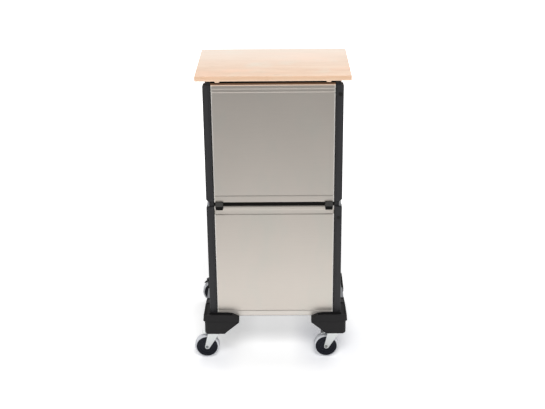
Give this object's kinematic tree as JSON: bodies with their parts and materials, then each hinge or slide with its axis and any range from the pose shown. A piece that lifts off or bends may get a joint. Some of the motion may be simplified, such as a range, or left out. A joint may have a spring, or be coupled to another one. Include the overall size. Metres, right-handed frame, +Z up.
{
  "type": "lectern stand",
  "caption": "Rolling lectern stand: a flat wooden desk board on two stacked slotted-post rack modules with metal panels, carried by a base with swivel casters and brakes.",
  "frame": {"origin": "on the floor under the middle of the square that the four caster swivel axes make", "axes": "+X to the right seen from the front panels, -Y towards the front panels, +Z up"},
  "size_m": [0.617, 0.572, 1.182],
  "materials": {
    "beech_board": "clear satin lacquered beech",
    "batten_wood": "clear lacquered beech",
    "post_black": "fine textured powder coat",
    "rail_black": "satin powder coat",
    "brushed_panel": "horizontally brushed, warm grey",
    "shelf_grey": "satin powder coat",
    "lock_black": "satin",
    "clip_grey": "matt moulded",
    "rubber_black": "matt",
    "foot_black": "fine grained moulding",
    "sill_grey": "satin anodised",
    "zinc_bright": "bright zinc plate",
    "zinc_hardware": "zinc plate",
    "hub_black": "semi gloss moulded",
    "tyre_grey": "non-marking grey rubber",
    "pedal_black": "matt moulded"
  },
  "bodies": {
    "stand": {"top_board": "beech_board", "board_battens": "batten_wood", "board_screws": "zinc_hardware", "lower_post_front_left": "post_black", "lower_post_front_right": "post_black", "lower_post_rear_left": "post_black", "lower_post_rear_right": "post_black", "lower_cross_rails": "rail_black", "lower_side_rails": "rail_black", "lower_front_panel": "brushed_panel", "lower_side_panel_left": "brushed_panel", "lower_side_panel_right": "brushed_panel", "lower_floor_plate": "shelf_grey", "lower_shelf": "shelf_grey", "upper_post_front_left": "post_black", "upper_post_front_right": "post_black", "upper_post_rear_left": "post_black", "upper_post_rear_right": "post_black", "upper_cross_rails": "rail_black", "upper_side_rails": "rail_black", "upper_front_panel": "brushed_panel", "upper_side_panel_left": "brushed_panel", "upper_side_panel_right": "brushed_panel", "upper_floor_plate": "shelf_grey", "upper_shelf": "shelf_grey", "clip_blocks": "clip_grey", "clip_pads": "rubber_black", "side_buffers": "rubber_black", "post_connectors": "zinc_hardware", "corner_foot_front_left": "foot_black", "corner_foot_front_right": "foot_black", "corner_foot_rear_left": "foot_black", "corner_foot_rear_right": "foot_black", "side_sills": "sill_grey", "base_tray": "shelf_grey", "caster_plates": "zinc_bright", "caster_kingpins": "zinc_bright", "caster_bolts": "zinc_bright"},
    "lower_lock": {"lower_turn_lock": "lock_black"},
    "upper_lock": {"upper_turn_lock": "lock_black"},
    "fork_front_left": {"caster_fork_front_left": "zinc_bright", "caster_axle_front_left": "zinc_hardware"},
    "wheel_front_left": {"wheel_hub_front_left": "hub_black", "wheel_tyre_front_left": "tyre_grey"},
    "fork_front_right": {"caster_fork_front_right": "zinc_bright", "caster_axle_front_right": "zinc_hardware"},
    "wheel_front_right": {"wheel_hub_front_right": "hub_black", "wheel_tyre_front_right": "tyre_grey"},
    "fork_rear_left": {"caster_fork_rear_left": "zinc_bright", "caster_axle_rear_left": "zinc_hardware", "brake_pin_rear_left": "zinc_hardware"},
    "wheel_rear_left": {"wheel_hub_rear_left": "hub_black", "wheel_tyre_rear_left": "tyre_grey"},
    "fork_rear_right": {"caster_fork_rear_right": "zinc_bright", "caster_axle_rear_right": "zinc_hardware", "brake_pin_rear_right": "zinc_hardware"},
    "wheel_rear_right": {"wheel_hub_rear_right": "hub_black", "wheel_tyre_rear_right": "tyre_grey"},
    "pedal_rear_left": {"brake_pedal_rear_left": "pedal_black"},
    "pedal_rear_right": {"brake_pedal_rear_right": "pedal_black"}
  },
  "joints": [
    {"name": "swivel_front_left", "type": "hinge", "parent": "stand", "child": "fork_front_left", "pos_m": [-0.242, -0.242, 0.12], "axis": [0, 0, 1], "continuous": true},
    {"name": "roll_front_left", "type": "hinge", "parent": "fork_front_left", "child": "wheel_front_left", "pos_m": [-0.278, -0.242, 0.05], "axis": [0, 1, 0], "continuous": true},
    {"name": "swivel_front_right", "type": "hinge", "parent": "stand", "child": "fork_front_right", "pos_m": [0.242, -0.242, 0.12], "axis": [0, 0, 1], "continuous": true},
    {"name": "roll_front_right", "type": "hinge", "parent": "fork_front_right", "child": "wheel_front_right", "pos_m": [0.206, -0.242, 0.05], "axis": [0, 1, 0], "continuous": true},
    {"name": "swivel_rear_left", "type": "hinge", "parent": "stand", "child": "fork_rear_left", "pos_m": [-0.242, 0.242, 0.12], "axis": [0, 0, 1], "continuous": true},
    {"name": "roll_rear_left", "type": "hinge", "parent": "fork_rear_left", "child": "wheel_rear_left", "pos_m": [-0.278, 0.242, 0.05], "axis": [0, 1, 0], "continuous": true},
    {"name": "swivel_rear_right", "type": "hinge", "parent": "stand", "child": "fork_rear_right", "pos_m": [0.242, 0.242, 0.12], "axis": [0, 0, 1], "continuous": true},
    {"name": "roll_rear_right", "type": "hinge", "parent": "fork_rear_right", "child": "wheel_rear_right", "pos_m": [0.206, 0.242, 0.05], "axis": [0, 1, 0], "continuous": true},
    {"name": "brake_rear_left", "type": "hinge", "parent": "fork_rear_left", "child": "pedal_rear_left", "pos_m": [-0.263, 0.242, 0.1054], "axis": [0, -1, 0], "range_deg": [0, 5]},
    {"name": "brake_rear_right", "type": "hinge", "parent": "fork_rear_right", "child": "pedal_rear_right", "pos_m": [0.221, 0.242, 0.1054], "axis": [0, -1, 0], "range_deg": [0, 5]},
    {"name": "lower_lock_turn", "type": "hinge", "parent": "stand", "child": "lower_lock", "pos_m": [0.2482, -0.261, 0.6175], "axis": [0, -1, 0], "range_deg": [0, 90]},
    {"name": "upper_lock_turn", "type": "hinge", "parent": "stand", "child": "upper_lock", "pos_m": [0.2482, -0.261, 1.1115], "axis": [0, -1, 0], "range_deg": [0, 90]}
  ]
}
